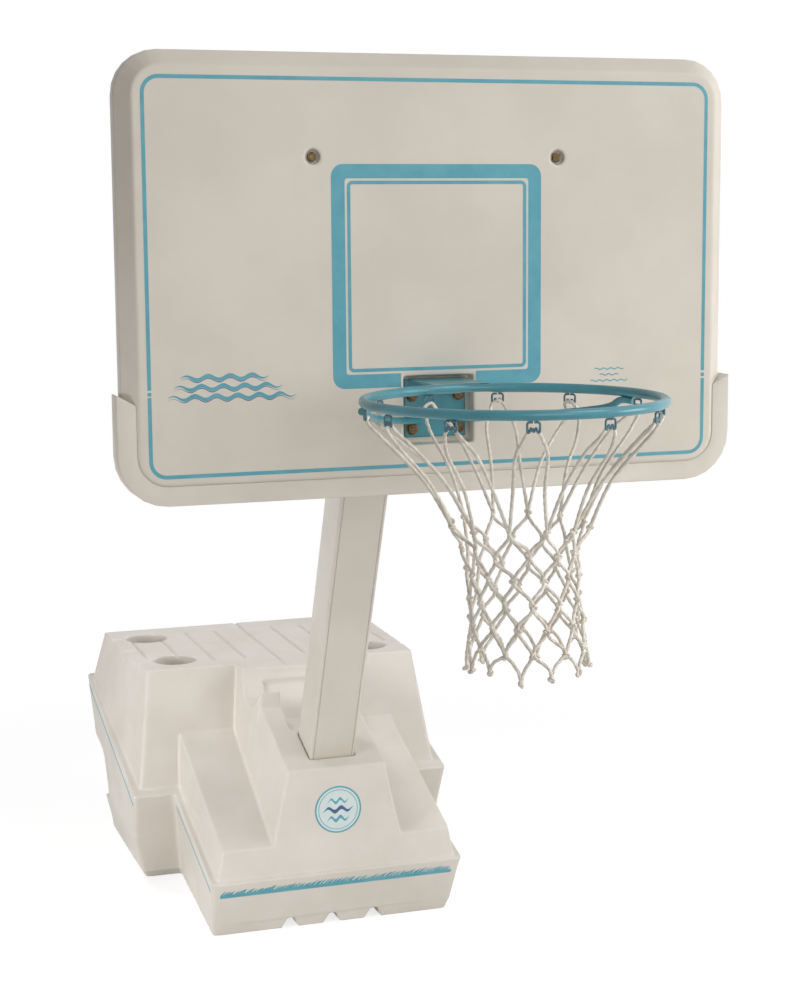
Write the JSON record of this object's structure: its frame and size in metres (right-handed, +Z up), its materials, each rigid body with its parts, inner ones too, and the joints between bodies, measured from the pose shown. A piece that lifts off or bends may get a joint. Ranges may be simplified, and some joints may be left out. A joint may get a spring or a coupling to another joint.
{
  "type": "poolside basketball hoop",
  "caption": "Poolside basketball hoop: water-filled tank base, leaning square pole, moulded backboard that tilts on a rear brake hinge, and a ring with a hanging cord net.",
  "frame": {"origin": "middle of the base tank's flat underside, on the pool deck", "axes": "+X to the right as seen from the pool, -Y towards the pool and the ring, +Z up"},
  "size_m": [1.129, 2.1653, 1.779],
  "materials": {
    "tank_plastic": "satin",
    "water": "gloss",
    "board_plastic": "satin",
    "bumper_plastic": "satin",
    "pole_paint": "satin",
    "black_rubber": "matte",
    "teal_plastic": "gloss",
    "net_cord": "matte",
    "zinc_steel": "satin",
    "brassy_steel": "satin",
    "teal_paint": "gloss"
  },
  "bodies": {
    "base": {"base_tank": "tank_plastic", "water_ballast": "water", "pole": "pole_paint", "pole_cap": "black_rubber", "head_plate_left": "teal_paint", "head_plate_right": "teal_paint", "head_bolt_1": "zinc_steel", "head_nut_1": "zinc_steel", "head_bolt_2": "zinc_steel", "head_nut_2": "zinc_steel", "hinge_pin": "zinc_steel", "hinge_nut": "zinc_steel", "release_pin": "zinc_steel", "release_pin_nut": "zinc_steel", "release_spring": "zinc_steel"},
    "board": {"backboard": "board_plastic", "edge_bumper": "bumper_plastic", "frame_upright_left": "teal_paint", "frame_upright_right": "teal_paint", "frame_ear_left": "teal_paint", "frame_ear_right": "teal_paint", "frame_top_rail": "teal_paint", "frame_mount_plate": "teal_paint", "brake_quadrant": "zinc_steel", "board_bolt_left": "brassy_steel", "board_bolt_right": "brassy_steel", "board_nut_left": "zinc_steel", "board_nut_right": "zinc_steel", "rim_bracket": "teal_paint", "bracket_bolt_left_low": "brassy_steel", "bracket_bolt_left_high": "brassy_steel", "bracket_bolt_right_low": "brassy_steel", "bracket_bolt_right_high": "brassy_steel", "bracket_nut_left_low": "brassy_steel", "bracket_nut_left_high": "brassy_steel", "bracket_nut_right_low": "brassy_steel", "bracket_nut_right_high": "brassy_steel", "rim_brace_left": "teal_paint", "rim_brace_right": "teal_paint", "rim_ring": "teal_paint", "net_hook_1": "teal_paint", "net_hook_2": "teal_paint", "net_hook_3": "teal_paint", "net_hook_4": "teal_paint", "net_hook_5": "teal_paint", "net_hook_6": "teal_paint", "net_hook_7": "teal_paint", "net_hook_8": "teal_paint", "net_hook_9": "teal_paint", "net_hook_10": "teal_paint", "net_hook_11": "teal_paint", "net_hook_12": "teal_paint", "net": "net_cord"},
    "lever": {"release_lever": "teal_paint", "handle_grip": "black_rubber", "brake_lining": "black_rubber"},
    "fill_cap": {"fill_cap": "teal_plastic", "fill_cap_seal": "black_rubber"},
    "drain_plug": {"drain_plug": "teal_plastic", "drain_plug_seal": "black_rubber"}
  },
  "joints": [
    {"name": "board_tilt", "type": "hinge", "parent": "base", "child": "board", "pos_m": [0, -0.96, 1.12], "axis": [1, 0, 0], "range_deg": [0, 55]},
    {"name": "release_handle", "type": "hinge", "parent": "base", "child": "lever", "pos_m": [0, -0.90519, 1.27492], "axis": [1, 0, 0], "range_deg": [0, 20], "stiffness_Nm_per_rad": 1.5, "springref_deg": -17.19},
    {"name": "fill_cap_lift_out", "type": "slide", "parent": "base", "child": "fill_cap", "axis": [0, 1, 0], "range_m": [0, 0.05]},
    {"name": "drain_plug_lift_out", "type": "slide", "parent": "base", "child": "drain_plug", "axis": [0, 1, 0], "range_m": [0, 0.04]}
  ]
}
